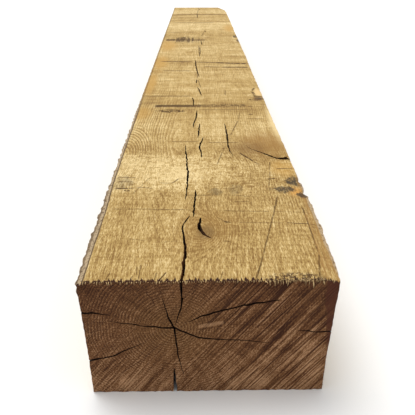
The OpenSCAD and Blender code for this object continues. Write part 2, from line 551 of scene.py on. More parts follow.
def stations(route, gap):
    """Points along a route about this far apart, and each one's share of the way."""
    route = np.array(route, float)
    steps = np.linalg.norm(np.diff(route, axis=0), axis=1)
    ends = np.concatenate([[0], np.cumsum(steps)])
    at = np.linspace(0, ends[-1], max(round(ends[-1] / gap), 4) + 1)
    return np.stack([np.interp(at, ends, part) for part in route.T], 1), at / ends[-1]


def blade(route, gape, depth, taper, seed):
    """A thin wedge with ragged flanks, in the shape of the air in a split. Returns its points, as
    [two ways on the face, into it], and its faces. Where there is a taper, the split is open at its
    start and narrows to its end, the later the smaller the taper. Otherwise both ends are shut."""
    line, share = stations(route, 2.2 if len(route) > 3 else 1.8)
    count = len(line)
    tangent = np.gradient(line, axis=0)
    tangent /= np.linalg.norm(tangent, axis=1)[:, None]
    sideways = np.stack([-tangent[:, 1], tangent[:, 0]], 1)
    key = np.stack([line[:, 0], line[:, 1], np.full(count, seed * 7.3)], 1)
    wander = (noise(key / 7, 91) - 0.5) * 1.6 + (noise(key / 2.3, 92) - 0.5) * 0.7
    closing = (1 - share) ** taper if taper else np.sin(np.pi * share) ** 0.4
    width = gape * closing * (0.6 + 0.8 * noise(key / 5, 93)) / 2 + 0.06
    deep = depth * (0.15 + 0.85 * closing)
    centre = line + sideways * (wander * np.minimum(1, 4 * (1 - share)))[:, None]
    lean = (noise(key / 30, 94) - 0.5) * 0.18
    rings = []
    # Each level is its share of the depth and how open the split is there. The first is in the air.
    for level, open_share in ((-0.09, 1.05), (0, 1), (0.3, 0.8), (0.65, 0.55), (1, 0)):
        into = np.where(level < 0, -4.0, level * deep)
        spot = centre + sideways * (lean * np.maximum(into, 0))[:, None]
        rough = 1 + 0.5 * (noise(key / 3 + level * 9, 95) - 0.5) * (level > 0)
        for hand in (1, -1) if open_share else (0,):
            edge = spot + sideways * (hand * width * open_share * rough)[:, None]
            rings.append(np.column_stack([edge, np.broadcast_to(into, count)]))
    # Down one flank, through the root and up the other.
    order = [0, 2, 4, 6, 8, 7, 5, 3, 1]
    points = np.concatenate([rings[number] for number in order])
    around = len(order)
    faces = []
    for flank in range(around):
        beside = (flank + 1) % around
        for at in range(count - 1):
            a, b = flank * count + at, beside * count + at
            faces.append((a, b, b + 1, a + 1))
    faces.append(tuple(flank * count for flank in range(around))[::-1])
    faces.append(tuple(flank * count + count - 1 for flank in range(around)))
    return points, faces


def shifted(route, across, up=0, mirror=False):
    """A route moved to the timber's own middle and underside."""
    return [(across + (-x if mirror else x), up + y) for x, y in route]


def cut_list(sizes):
    """Every split as its face, route, gape, depth and taper."""
    star = sizes.star_gape, STAR_DEPTH
    cuts = [("top", shifted(MAIN_ROUTE, -PITH_LEFT), sizes.main_gape, MAIN_DEPTH, 0.3)]
    for route in CHECK_ROUTES:
        cuts.append(("top", shifted(route, -PITH_LEFT), sizes.check_gape, CHECK_DEPTH, 0))
    cuts.append(("top", shifted(KNOT_ROUTE, -PITH_LEFT), sizes.knot_gape, CHECK_DEPTH, 0))
    cuts.append(("top", shifted(SIDE_ROUTE, HALF, mirror=True), sizes.side_gape, SIDE_DEPTH, 1.6))
    for route in STAR_ROUTES + [BRANCH_ROUTE]:
        cuts.append(("front", shifted(route, -PITH_LEFT, PITH_UP), *star, 0.55))
    cuts.append(("front", shifted(LONE_ROUTE, -PITH_LEFT, PITH_UP), *star, 0))
    for route in LEFT_ROUTES:
        cuts.append(("front", shifted(route, -HALF, PITH_UP), *star, 0.55))
    for route in RIGHT_ROUTES:
        cuts.append(("front", shifted(route, HALF, PITH_UP, mirror=True), *star, 0.55))
    cuts.append(("front", shifted(FOOT_ROUTE, -PITH_LEFT), sizes.foot_gape, FOOT_DEPTH, 0.55))
    return cuts


def in_place(face, points):
    """Blade points as places on the timber."""
    one, two, into = points.T
    if face == "top":
        return np.stack([one, two, HEIGHT - into], 1)
    return np.stack([one, into, two], 1)


def metres(points):
    """Places on the timber as Blender's own places."""
    return (points + (0, FRONT, 0)) * MM


def outward(points, faces):
    """The faces, turned over if they would make the closed mesh inside out."""
    volume = 0.0
    for face in faces:
        for at in range(1, len(face) - 1):
            a, b, c = points[face[0]], points[face[at]], points[face[at + 1]]
            volume += np.dot(a, np.cross(b, c))
    return faces if volume > 0 else [face[::-1] for face in faces]


def new_piece(name, points, faces, materials):
    """A mesh object from places on the timber."""
    mesh = bpy.data.meshes.new(name)
    mesh.from_pydata(metres(points), [], faces)
    for material in materials:
        mesh.materials.append(material)
    piece = bpy.data.objects.new(name, mesh)
    bpy.context.scene.collection.objects.link(piece)
    return piece


def apply_modifiers(piece):
    """Makes the piece's modified mesh its own mesh."""
    graph = bpy.context.evaluated_depsgraph_get()
    done = bpy.data.meshes.new_from_object(piece.evaluated_get(graph), depsgraph=graph)
    piece.modifiers.clear()
    piece.data = done


def cut_splits(piece, sizes, wall):
    """Takes the air of every split out of the baulk."""
    blades = []
    for number, (face, route, gape, depth, taper) in enumerate(cut_list(sizes)):
        points, faces = blade(route, gape / MM, depth, taper, number)
        points = in_place(face, points)
        cutter = new_piece(f"cutter_{number}", points, outward(points, faces), [wall])
        blades.append(cutter)
        cut = piece.modifiers.new(f"split_{number}", "BOOLEAN")
        cut.operation = "DIFFERENCE"
        cut.solver = "MANIFOLD"
        cut.material_mode = "TRANSFER"
        cut.object = cutter
    apply_modifiers(piece)
    join_spare_points(piece.data)
    for cutter in blades:
        bpy.data.objects.remove(cutter)


def join_spare_points(mesh):
    """Takes out the vertices that the cuts left part-way along an edge or upon another vertex."""
    shape = bmesh.new()
    shape.from_mesh(mesh)
    spare = [vertex for vertex in shape.verts if len(vertex.link_edges) == 2]
    bmesh.ops.dissolve_verts(shape, verts=spare)
    bmesh.ops.dissolve_degenerate(shape, dist=0.001 * MM, edges=shape.edges)
    shape.to_mesh(mesh)
    shape.free()


# ---------------------------------------------------------------- shader maths


class Value:
    """A shader socket that can stand in an expression: each operator adds its Math node."""

    def __init__(self, tree, socket):
        self.tree = tree
        self.socket = socket

    def maths(self, operation, *inputs):
        return self.tree.node("ShaderNodeMath", {"operation": operation}, dict(enumerate(inputs)))

    def __add__(self, other):
        return self.maths("ADD", self, other)

    def __sub__(self, other):
        return self.maths("SUBTRACT", self, other)

    def __rsub__(self, other):
        return self.maths("SUBTRACT", other, self)

    def __mul__(self, other):
        return self.maths("MULTIPLY", self, other)

    def __truediv__(self, other):
        return self.maths("DIVIDE", self, other)

    def __pow__(self, other):
        return self.maths("POWER", self, other)

    def __rpow__(self, other):
        return self.maths("POWER", other, self)

    def __mod__(self, other):
        return self.maths("FLOORED_MODULO", self, other)

    def __neg__(self):
        return self.maths("MULTIPLY", self, -1)

    def __abs__(self):
        return self.maths("ABSOLUTE", self)

    def most(self, other):
        return self.maths("MAXIMUM", self, other)

    __radd__ = __add__
    __rmul__ = __mul__


class Finish:
    """One material, with short ways to add to its nodes."""

    def __init__(self, name):
        self.material = bpy.data.materials.new(name)
        self.material.use_nodes = True
        self.nodes = self.material.node_tree.nodes
        self.links = self.material.node_tree.links
        self.nodes.clear()
        place = self.node("ShaderNodeTexCoord", output="Object")
        parts = self.node("ShaderNodeSeparateXYZ", inputs={0: place}).socket.node.outputs
        self.across = Value(self, parts[0]) / MM
        self.along = Value(self, parts[1]) / MM - FRONT
        self.up = Value(self, parts[2]) / MM

    def node(self, kind, settings=None, inputs=None, output=0):
        """Adds a node. Its settings are set first, and then the values or links of its sockets."""
        made = self.nodes.new(kind)
        for name, value in (settings or {}).items():
            if name == "stops":
                self.set_stops(made.color_ramp, value)
            else:
                setattr(made, name, value)
        for name, value in (inputs or {}).items():
            if isinstance(value, Value):
                self.links.new(value.socket, made.inputs[name])
            else:
                made.inputs[name].default_value = value
        return Value(self, made.outputs[output]) if made.outputs else None

    def set_stops(self, ramp, stops):
        """Gives a colour ramp these (place, colour) stops."""
        while len(ramp.elements) < len(stops):
            ramp.elements.new(0.5)
        for element, (place, colour) in zip(ramp.elements, stops):
            element.position = place
            element.color = (*colour, 1)

    def point(self, across, along, up=0.0):
        return self.node("ShaderNodeCombineXYZ", inputs={0: across, 1: along, 2: up})

    def noise(self, across, along, up, detail=2.0, roughness=0.5):
        """Noise from 0 to 1 at a point whose units are its lumps."""
        inputs = {"Vector": self.point(across, along, up), "Scale": 1.0, "Detail": detail,
                  "Roughness": roughness}
        return self.node("ShaderNodeTexNoise", inputs=inputs)

    def grain(self, across, along, up, shift=0.0, detail=2.0, roughness=0.5):
        """Noise with lumps of about this many millimetres each way."""
        return self.noise(self.across / across + shift, self.along / along, self.up / up,
                          detail, roughness)

    def rise(self, value, low, high):
        """0 below low, 1 above high and smooth between them. It falls where low is above high."""
        return self.node("ShaderNodeMapRange", {"interpolation_type": "SMOOTHSTEP"},
                         {0: value, 1: low, 2: high, 3: 0.0, 4: 1.0})

    def spot(self, one, two, wide, long):
        """1 where both distances are 0, and a bell round there."""
        one, two = one / wide, two / long
        return math.e ** -(one * one + two * two)

    def vector(self, operation, first, second):
        """A Vector Math node. A dot product gives a number, and the rest give a vector."""
        output = 1 if operation == "DOT_PRODUCT" else 0
        return self.node("ShaderNodeVectorMath", {"operation": operation}, {0: first, 1: second}, output)

    def stroke(self, place, start, end, thick):
        """1 on a thin straight line between two points of a face and 0 off it."""
        run = math.dist(start, end)
        aim = ((end[0] - start[0]) / run, (end[1] - start[1]) / run, 0)
        gap = self.vector("SUBTRACT", place, (*start, 0))
        ahead = self.vector("DOT_PRODUCT", gap, aim)
        beside = self.vector("DOT_PRODUCT", gap, (-aim[1], aim[0], 0))
        ends = self.rise(abs(ahead - run / 2), run / 2, run * 0.38)
        return self.rise(abs(beside), thick, 0.35 * thick) * ends

    def mix(self, share, first, second):
        """Colour that goes from the first to the second as the share goes from 0 to 1."""
        inputs = {0: share}
        for name, colour in ((6, first), (7, second)):
            inputs[name] = colour if isinstance(colour, Value) else (*colour, 1)
        return self.node("ShaderNodeMix", {"data_type": "RGBA"}, inputs, output=2)

    def ramp(self, value, stops):
        return self.node("ShaderNodeValToRGB", {"stops": stops}, {0: value})

    def profile(self, value, places):
        """A number that follows these (place, number) pairs as the value goes up."""
        low, high = places[0][0], places[-1][0]
        stops = [((place - low) / (high - low), [number] * 3) for place, number in places]
        return self.ramp((value - low) / (high - low), stops)

    def finish(self, colour, roughness, relief, depth):
        """Ends the material: relief is a height from 0 to 1, and depth is what 1 stands for."""
        bump = self.node("ShaderNodeBump", inputs={"Height": relief, "Distance": depth,
                                                   "Strength": 1.0})
        surface = self.node("ShaderNodeBsdfPrincipled", inputs={
            "Base Color": colour, "Roughness": roughness, "Normal": bump,
            "Specular IOR Level": 0.18})
        self.node("ShaderNodeOutputMaterial", inputs={"Surface": surface})
        return self.material


# ---------------------------------------------------------------- materials


def ring_distance(oak):
    """How far a point lies from the pith, as the rings see it: the pith sways along the log, the
    rings wave, and each limb pulls them in."""
    settled = oak.rise(oak.along, 0, 420)
    sway = oak.noise(oak.along / 620, 3.7, 0.0, detail=1.0) - 0.5
    dip = oak.noise(oak.along / 430, 8.1, 0.0, detail=1.0) - 0.5
    swell = oak.grain(85, 210, 85, shift=5.0, detail=1.0) - 0.5
    wave = oak.grain(24, 75, 24, shift=2.0, detail=1.0) - 0.5
    aside = oak.across + PITH_LEFT - sway * settled * 50
    above = oak.up - PITH_UP - settled * 34 - dip * settled * 24
    ring = (aside * aside + above * above) ** 0.5
    ring = ring + swell * 8 + wave * 5
    near_top = oak.rise(oak.up, 50, 130)
    for across, along, wide, long, pull in LIMBS:
        limb = oak.spot(oak.across - across, oak.along - along, wide, long)
        ring = ring - limb * near_top * pull
    return ring


def ring_lines(oak, ring, width):
    """1 at the open-pored start of each ring, falling to 0 at its end."""
    uneven = oak.noise(ring / 19, 1.3, 0.0, detail=1.0)
    return (1 - (ring / width + uneven * 1.2) % 1.0) ** 1.7


def torn_edge(oak):
    """How far the pale top wood reaches past the front end's upper arris. It is below 0 where a
    notch shows the end's brown wood instead."""
    teeth = oak.noise(oak.across / 3.6, 4.0, 0.0, detail=3.0, roughness=0.75) - 0.47
    clump = oak.rise(oak.across, 52, 64) * oak.rise(oak.across, 122, 110)
    return teeth * (clump * 14 + 34) - 4.5


def sawn_oak(sizes, colours):
    """The long sawn faces: golden oak with lengthwise grain, stains, scratches and bark."""
    oak = Finish("sawn oak")
    top = oak.rise(oak.up, HEIGHT - 22, HEIGHT - 16)
    ring = ring_distance(oak)
    lines = ring_lines(oak, ring, sizes.ring_width / MM)
    # Grain that follows the rings round a limb, fine specks, and marks left across by the saw.
    flow = oak.noise(ring / 2.4, oak.along / 60, oak.across / 90, detail=4.0, roughness=0.75)
    near = oak.rise(oak.along, 900, 200)
    specks = oak.grain(0.95, 6.5, 0.95, detail=2.0, roughness=0.75) - 0.5
    fibre = oak.grain(5, 45, 5, shift=8.0, detail=5.0, roughness=0.85)
    broad = oak.grain(17, 330, 17, shift=5.0, detail=2.0) - 0.5
    weave = oak.grain(40, 2.4, 40, shift=14.0, detail=2.0, roughness=0.7) - 0.5
    mottle = oak.grain(8, 10, 8, shift=6.0, detail=4.0, roughness=0.8) - 0.5
    chatter = oak.grain(150, 36, 60, detail=4.0, roughness=0.85) - 0.5
    # A limb just outside the left arris has rings of its own.
    limb = ((oak.across + 134) ** 2 + ((oak.along - 352) / 3.2) ** 2) ** 0.5
    limbed = oak.rise(limb, 62, 40) * oak.rise(oak.along, 290, 400) * top
    lines = lines + (ring_lines(oak, limb, 4.1) - lines) * limbed
    # The rings stand out where the saw ran nearly along them, and round the first knot.
    plain = oak.spot(oak.across + 98, oak.along - 480, 52, 150)
    swirl = oak.spot(oak.across - 14, oak.along - 96, 27, 48)
    patchy = oak.rise(oak.grain(60, 160, 60, shift=9.0, detail=1.0), 0.4, 0.65)
    faint = oak.spot(oak.across + 20, oak.along - 450, 24, 100)
    clear = (patchy * 0.2 + 0.12 + plain * 0.5 + swirl * 0.45 + limbed * 0.2) * (1 - faint * 0.9)
    rough = oak.rise(oak.along, 205, 235) * oak.rise(oak.along, 385, 345) * top
    # The top's lightness along its length: the wood's tone and painted light together.
    level = oak.profile(oak.along, LIGHT_AND_TONE_LEVELS) * top + (1 - top) * 0.45
    tone = level + (flow - 0.5) * 0.7 + specks * near * 2.1 + (fibre - 0.5) * 1.1
    tone = tone + mottle * (rough * 1.6 + swirl * 0.8 + 0.3) + broad * 0.4 + chatter * (1.5 - near * 0.7)
    tone = tone + weave * (near * 0.4 + rough * 0.5) - (lines - 0.35) * clear
    tone = tone - rough * (oak.rise(oak.across, -40, 60) * 0.30 - 0.19)
    # Darker round the first knot.
    tone = tone - oak.spot(oak.across - 2, oak.along - 112, 36, 56) * 0.20
    stops = [(0.0, colours.sawn_dark), (0.5, colours.sawn), (1.0, colours.sawn_pale)]
    colour = oak.ramp(tone, stops)
    dashes = oak.rise(oak.grain(1.3, 18, 1.3, shift=3.0), 0.55, 0.68)
    colour = oak.mix(dashes * 0.5, colour, colours.sawn_dark)
    colour = stained(oak, colour, colours, top, fibre)
    colour = barked(oak, colour, colours)
    # Brown notches where the saw tore the front arris, and the clump that it chewed.
    notch = oak.rise(oak.along + torn_edge(oak), 0.5, -0.5)
    chewed = oak.rise(oak.grain(3, 4, 3, shift=13.0, detail=3.0, roughness=0.75), 0.46, 0.54)
    chewed = chewed * oak.rise(oak.spot(oak.across - 88, oak.along - 4, 32, 12), 0.25, 0.6)
    colour = oak.mix(notch.most(chewed * 0.85), colour, colours.end_dark)
    relief = specks * 0.6 + fibre * 0.5 + flow * 0.3 + chatter * 0.4 - lines * clear * 0.4
    return oak.finish(colour, 0.78, relief, 0.0012)


def stained(oak, colour, colours, top, fibre):
    """What has marked the top: limbs, stickers, dirt and scratches."""
    shake = oak.grain(8, 14, 8, shift=4.0, detail=3.0, roughness=0.7) - 0.5
    ragged = oak.grain(13, 20, 13, shift=11.0, detail=4.0, roughness=0.75) - 0.5
    comb = oak.rise(oak.grain(8, 300, 8, shift=7.0, detail=3.0, roughness=0.7), 0.42, 0.58)
    dots = oak.rise(oak.grain(6, 16, 6, shift=2.0, detail=2.0, roughness=0.7), 0.42, 0.56)
    across = oak.across
    along = oak.along
    # Darker, greyer and browner round the first knot, and brown wood by the side split, at the second
    # knot and along both sides.
    tints = [
        (oak.spot(across + 1, along - 102, 12, 17), 0.60, colours.weathered),
        (oak.spot(across - 2, along - 112, 36, 56), 0.35, colours.blush),
        (oak.spot(across - 106, along - 408, 48, 64), 0.75, colours.blush),
        (oak.spot(across - 74, along - 386, 34, 36), 0.50, colours.knot),
        (oak.spot(across - 118, along - 298, 22, 34), 0.60, colours.amber),
        (oak.spot(across - 121, along - 700, 12, 17), 1.00, colours.knot),
        (oak.spot(across - 126, along - 754, 9, 34), 1.00, colours.sawn_pale),
        (oak.spot(across - 126, along - 754, 9, 34), 0.35, colours.orange),
        (oak.spot(across - 132, along - 530, 8, 110), 0.80, colours.sawn_pale),
        (oak.spot(across - 124, along - 214, 11, 16), 0.80, colours.orange),
        (oak.spot(across + 122, along - 590, 20, 50), 0.60, colours.amber),
        (oak.spot(across + 124, along - 850, 15, 120), 0.75, colours.amber),
        (oak.spot(across + 116, along - 1110, 24, 110), 0.75, colours.amber),
        (oak.spot(across + 108, along - 1390, 30, 120), 0.70, colours.amber),
        (oak.spot(across - 116, along - 1800, 24, 110), 0.70, colours.amber),
        (oak.rise(-across, 127, 131) * oak.rise(along, 300, 500), 0.45, colours.stain),
    ]
    for share, strength, tint in tints:
        edge = oak.rise(share + ragged * 0.8, 0.05, 0.95)
        colour = oak.mix(edge * top * strength, colour, tint)
    # Dirt with ragged edges.
    for one, two, wide, long, strength in (
            (128, 248, 14, 18, 1.0), (110, 221, 17, 11, 0.95), (-118, 248, 17, 24, 0.42),
            (14, 213, 11, 13, 0.5), (41, 224, 11, 17, 0.4), (128, 203, 7, 9, 0.9),
            (124, 702, 10, 10, 0.8), (127, 1585, 9, 34, 0.9), (133, 1490, 7, 36, 0.9)):
        share = oak.spot(across - one, along - two, wide, long)
        share = oak.rise(share + ragged * 1.5, 0.3, 0.6) * top
        colour = oak.mix(share * (dots * 0.5 + 0.5) * strength, colour, colours.weathered)
    # Two stickers lay across the stack and left their marks.
    sticker = oak.rise(abs(along - 645 + shake * 16), 12, 5) * oak.rise(abs(across + 5), 98, 90)
    sticker = sticker * (1 - oak.rise(across, -40, 40) * (1 - dots * 0.7) * 0.8)
    under = oak.spot(across + 66, along - 607, 36, 14)
    under = oak.rise(under + ragged * 1.6, 0.4, 0.7) * (dots * 0.8 + 0.2)
    second = oak.spot(across + 50, along - 1510 + shake * 120, 72, 64)
    second = oak.rise(second + ragged * 1.2, 0.25, 0.75) * (comb * 0.8 + 0.2)
    share = sticker.most(under).most(second) * top
    colour = oak.mix(share * 0.92, colour, colours.stain)
    # Saw and handling marks.
    place = oak.point(across + shake * 2.5, along + shake * 3)
    broken = oak.rise(fibre + shake * 0.5, 0.32, 0.5)
    for start, end, thick, strength in TOP_MARKS:
        line = oak.stroke(place, start, end, thick)
        colour = oak.mix(line * broken * top * strength, colour, colours.stain)
    return colour


def barked(oak, colour, colours):
    """Sapwood and bark left on the upper arrises."""
    crumbs = oak.grain(3, 4, 3, shift=3.0, detail=3.0, roughness=0.7)
    wander = (oak.grain(9, 16, 9, shift=3.0, detail=2.0) - 0.5) * 6
    bark = oak.mix(oak.rise(crumbs, 0.30, 0.55), colours.bark_dark, colours.bark)
    # On the right, sapwood comes in from the side and bark lies on the very edge.
    inner = oak.across - 115 - oak.along * 0.05 + wander
    near = oak.rise(oak.along, 300, 240)
    sapwood = oak.rise(inner, -1.0, 3.0) * near * oak.rise(oak.up, HEIGHT - 14, HEIGHT - 9)
    streaks = oak.rise(oak.grain(2, 50, 2, shift=5.0, detail=3.0, roughness=0.7), 0.42, 0.58)
    colour = oak.mix(sapwood * (streaks * 0.5 + 0.1), colour, colours.sapwood)
    edge = oak.rise(oak.across + wander * 0.5, HALF + 1.5, HALF + 3.5) * near
    colour = oak.mix(edge * oak.rise(oak.up, HEIGHT - 30, HEIGHT - 12) * 0.8, colour, bark)
    broken = oak.spot(oak.along - 203, oak.across - 131, 11, 7)
    broken = oak.rise(broken + (crumbs - 0.5) * 1.5, 0.4, 0.6)
    broken = broken * oak.rise(oak.up, HEIGHT - 24, HEIGHT - 12)
    colour = oak.mix(broken * 0.9, colour, colours.bark_dark)
    # On the left, bark covers the arris behind a dark line.
    inner = -oak.across - HALF + 3.8 - oak.rise(oak.along, 150, 270) * 3.4 + wander * 0.3
    strip = oak.rise(inner, -0.8, 0.4) * oak.rise(oak.along, 760, 560)
    strip = strip * oak.rise(oak.up, HEIGHT - 24, HEIGHT - 15)
    line = oak.rise(abs(inner - 0.6), 1.6, 0.7).most(oak.rise(inner, 4.8, 6.6) * 0.7)
    bark = oak.mix(line * 0.95, bark, colours.bark_dark)
    return oak.mix(strip * 0.95, colour, bark)


def end_oak(sizes, colours):
    """The sawn ends: brown end grain with rings, rays and slanting saw marks."""
    oak = Finish("end grain oak")
    ridge = oak.node("ShaderNodeAttribute", {"attribute_name": "saw_ridge"}, output="Fac")
    ring = ring_distance(oak)
    lines = ring_lines(oak, ring, sizes.ring_width / MM * 0.75)
    aside = oak.across + PITH_LEFT
    above = oak.up - PITH_UP
    rays = oak.noise(aside / ring * 9, above / ring * 9, ring / 30, detail=3.0, roughness=0.75)
    off = oak.across * math.sin(SAW_SLANT) - oak.up * math.cos(SAW_SLANT)
    run = oak.across * math.cos(SAW_SLANT) + oak.up * math.sin(SAW_SLANT)
    combed = oak.noise(off / 1.7, run / 70, oak.along / 30, detail=3.0, roughness=0.75)
    crease = oak.noise(off / 6.5, run / 240, oak.along / 30 + 5, detail=1.0)
    crease = oak.rise(abs(crease - 0.5), 0.045, 0.01)
    speckle = oak.grain(1.7, 6, 1.7, detail=3.0, roughness=0.8)
    clouds = oak.grain(34, 60, 34, shift=1.5, detail=3.0)
    # The saw marks are strong to the right and low down. The rings show best where they are weak.
    sawn = oak.rise(oak.across, -40, 40).most(oak.rise(oak.up, 75, 15) * 0.5)
    ringed = (1 - sawn * 0.75) * oak.rise(clouds + speckle * 0.5, 0.6, 0.85)
    tone = 0.455 + (ridge - 0.5) * 0.5 + (combed - 0.5) * (sawn * 1.3 + 0.7) - crease * sawn * 0.4
    tone = tone + (speckle - 0.5) * (2.4 - sawn * 0.5) + (rays - 0.5) * 0.8 + (clouds - 0.5) * 0.35
    tone = tone - (lines - 0.3) * (ringed * 0.4 + 0.08) + (75 - oak.up) * 0.0028
    tone = tone + oak.spot(oak.across - 10, oak.up - 130, 60, 25) * 0.17
    for across, up, wide, tall, strength in (
            (110, 50, 14, 24, 0.5), (-88, 16, 28, 15, 0.5), (44, 14, 20, 11, 0.3)):
        worn = oak.spot(oak.across - across, oak.up - up, wide, tall) * (combed * 1.6 - 0.3)
        tone = tone + worn * strength
    stops = [(0.0, colours.end_dark), (0.5, colours.end), (1.0, colours.end_pale)]
    colour = oak.ramp(tone, stops)
    heart = oak.spot(aside, above, 46, 46)
    colour = oak.mix(heart * 0.35 * (1 - lines), colour, colours.heart)
    # The fine cracks and one pale ray.
    front = oak.rise(oak.along, 20, 10)
    shake = oak.grain(7, 9, 7, shift=4.0, detail=2.0) - 0.5
    place = oak.point(oak.across + shake * 3, oak.up + shake * 4)
    for start, end, thick, strength in END_MARKS:
        line = oak.stroke(place, start, end, thick) * front
        colour = oak.mix(line * strength, colour, colours.end_dark)
    ray = oak.stroke(place, (-12, 92), (17, 98), 3.2) * front * combed * 1.6
    colour = oak.mix(ray * 0.55, colour, colours.end_pale)
    # The dark wood under the bark down the right arris.
    band = oak.across - 118 - (HEIGHT - oak.up) * 0.09 + (clouds - 0.5) * 16 + (combed - 0.5) * 6
    band = oak.rise(band, -1.0, 1.5) * oak.rise(oak.up, 45, 75) * front
    colour = oak.mix(band * 0.85, colour, colours.end_red)
    # Pale fibre of the top lies over the upper arris.
    edge = oak.rise(oak.up - HEIGHT + torn_edge(oak), -0.5, 0.5) * front
    colour = oak.mix(edge * 0.9, colour, colours.fibre)
    relief = speckle * 0.5 + combed * 0.6 - lines * ringed * 0.3 - crease * 0.5
    return oak.finish(colour, 0.85, relief, 0.0012)


def split_wall(colours):
    """The flanks of a split: oak with painted shade that darkens it with depth, and painted light near
    the top of the wall, most of it near the front end.
    """
    oak = Finish("split wall")
    streaks = oak.grain(3, 40, 3, detail=3.0, roughness=0.7)
    # Painted light near the top of the wall, most of it near the front end; the dark colour elsewhere is
    # painted shade.
    painted_light = oak.rise(oak.up, HEIGHT - 26, HEIGHT - 3) * oak.rise(oak.along, 1, 14)
    painted_light = painted_light * (oak.rise(oak.along, 130, 40) * 0.8 + 0.2)
    colour = oak.mix(painted_light * streaks * 1.8, colours.split, colours.lit_split_lip)
    return oak.finish(colour, 0.9, streaks, 0.0015)


def torn_fibre(colours):
    """Loose fibre of the front end's upper arris, from pale to dark by its own tone."""
    oak = Finish("torn fibre")
    tone = oak.node("ShaderNodeAttribute", {"attribute_name": "tone"}, output="Fac")
    streaks = oak.grain(0.5, 2, 0.5, detail=2.0)
    colour = oak.mix(tone + (streaks - 0.5) * 0.3, colours.fibre, colours.fibre_dark)
    return oak.finish(colour, 0.85, streaks, 0.0003)


# ---------------------------------------------------------------- pieces


def set_attribute(mesh, name, values):
    """Writes one number a vertex."""
    attribute = mesh.attributes.new(name, "FLOAT", "POINT")
    attribute.data.foreach_set("value", np.asarray(values, np.float32))


def read(items, name, kind=int, wide=1):
    """One number of each item of a mesh, or a row of them where it has several."""
    values = np.zeros(len(items) * wide, kind)
    items.foreach_get(name, values)
    return values.reshape(-1, wide) if wide > 1 else values


def vertex_places(mesh):
    """The mesh's vertices as places on the timber."""
    return read(mesh.vertices, "co", float, 3) / MM - (0, FRONT, 0)


def face_slots(triangles, plain):
    """1 for a triangle of an end and 0 for one of a long face."""
    along = plain[triangles][:, :, ALONG]
    return ((along.max(1) < 1e-6) | (along.min(1) > LENGTH - 1e-6)).astype(np.int32)


def lay_out(mesh):
    """A flat layout of the surface, with the front end and the front of the top at the largest
    scale, so that a baked finish keeps their detail."""
    corner = read(mesh.loops, "vertex_index")
    totals = read(mesh.polygons, "loop_total")
    slots = read(mesh.polygons, "material_index")
    normals = read(mesh.polygon_normals, "vector", np.float32, 3)
    across, along, up = (vertex_places(mesh)[corner] + (HALF, 0, 0)).T
    starts = np.concatenate([[0], np.cumsum(totals)[:-1]])
    cut = LENGTH / 4
    near = np.add.reduceat(along, starts) / totals < cut
    facing = np.abs(normals).argmax(1)
    aside, level = facing == ACROSS, facing == UP
    right, over = normals[:, ACROSS] > 0, normals[:, UP] > 0
    end, wall = slots == 1, slots == 2
    big, small, least = 1.5 * MM, 0.5 * MM, 0.375 * MM
    # Each sheet's faces, its two ways, its scale, and where its low corner lies: up and across.
    sheets = [
        (level & over & near, along, across, big, 0.6, 0),
        (level & over & ~near, along - cut, across, small, 0.225, 0),
        (end & near, across, up, big, 0.365, 0),
        (end & ~near, across, up, 0.75 * MM, 0.365, 0.42),
        (aside & ~right, along, up, least, 0.162, 0),
        (aside & right, along, up, least, 0.102, 0),
        (level & ~over, along, across, least, 0.0, 0),
        (wall, along / 8, HEIGHT - up, 0.9 * MM, 0.365, 0.66),
    ]
    flat = np.zeros((len(corner), 2))
    for chosen, one, two, scale, shelf, start in sheets:
        here = np.repeat(chosen, totals)
        flat[here, 0] = 0.01 + start + one[here] * scale
        flat[here, 1] = 0.003 + shelf + two[here] * scale
    layer = mesh.uv_layers.new(name="OFBake")
    layer.uv.foreach_set("vector", np.clip(flat, 0.001, 0.999).astype(np.float32).ravel())


def declare(piece):
    """Says that the piece rides on the part's one body and stands for the sleeper."""
    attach(piece, "root")
    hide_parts("sleeper")


class SLEEPER_OT_baulk(bpy.types.Operator):
    """Build the sawn baulk with its splits"""

    bl_idname = "sleeper.baulk"
    bl_label = "Sawn Baulk"

    def execute(self, context):
        sizes, colours = context.scene.sleeper_sizes, context.scene.sleeper_colours
        points, triangles, plain = sawn_skin(sizes)
        materials = [sawn_oak(sizes, colours), end_oak(sizes, colours)]
        piece = new_piece("sawn_baulk", points, triangles, materials)
        piece.data.polygons.foreach_set("material_index", face_slots(triangles, plain))
        cut_splits(piece, sizes, split_wall(colours))
        mesh = piece.data
        if len(mesh.vertices) < len(points):
            raise RuntimeError("the splits could not be cut out of the baulk")
        set_attribute(mesh, "saw_ridge", saw_ridges(vertex_places(mesh)))
        lay_out(mesh)
        mesh.shade_smooth()
        mesh.set_sharp_from_angle(angle=math.radians(42))
        declare(piece)
        return {"FINISHED"}


class SLEEPER_OT_splinters(bpy.types.Operator):
    """Add the torn fibres along the front end's upper arris"""

    bl_idname = "sleeper.splinters"
    bl_label = "Torn Fibres"

    def execute(self, context):
        sizes, colours = context.scene.sleeper_sizes, context.scene.sleeper_colours
        points, faces, tones = splinters(sizes)
        piece = new_piece("torn_fibres", points, faces, [torn_fibre(colours)])
        set_attribute(piece.data, "tone", tones)
        piece.data.shade_smooth()
        declare(piece)
        return {"FINISHED"}


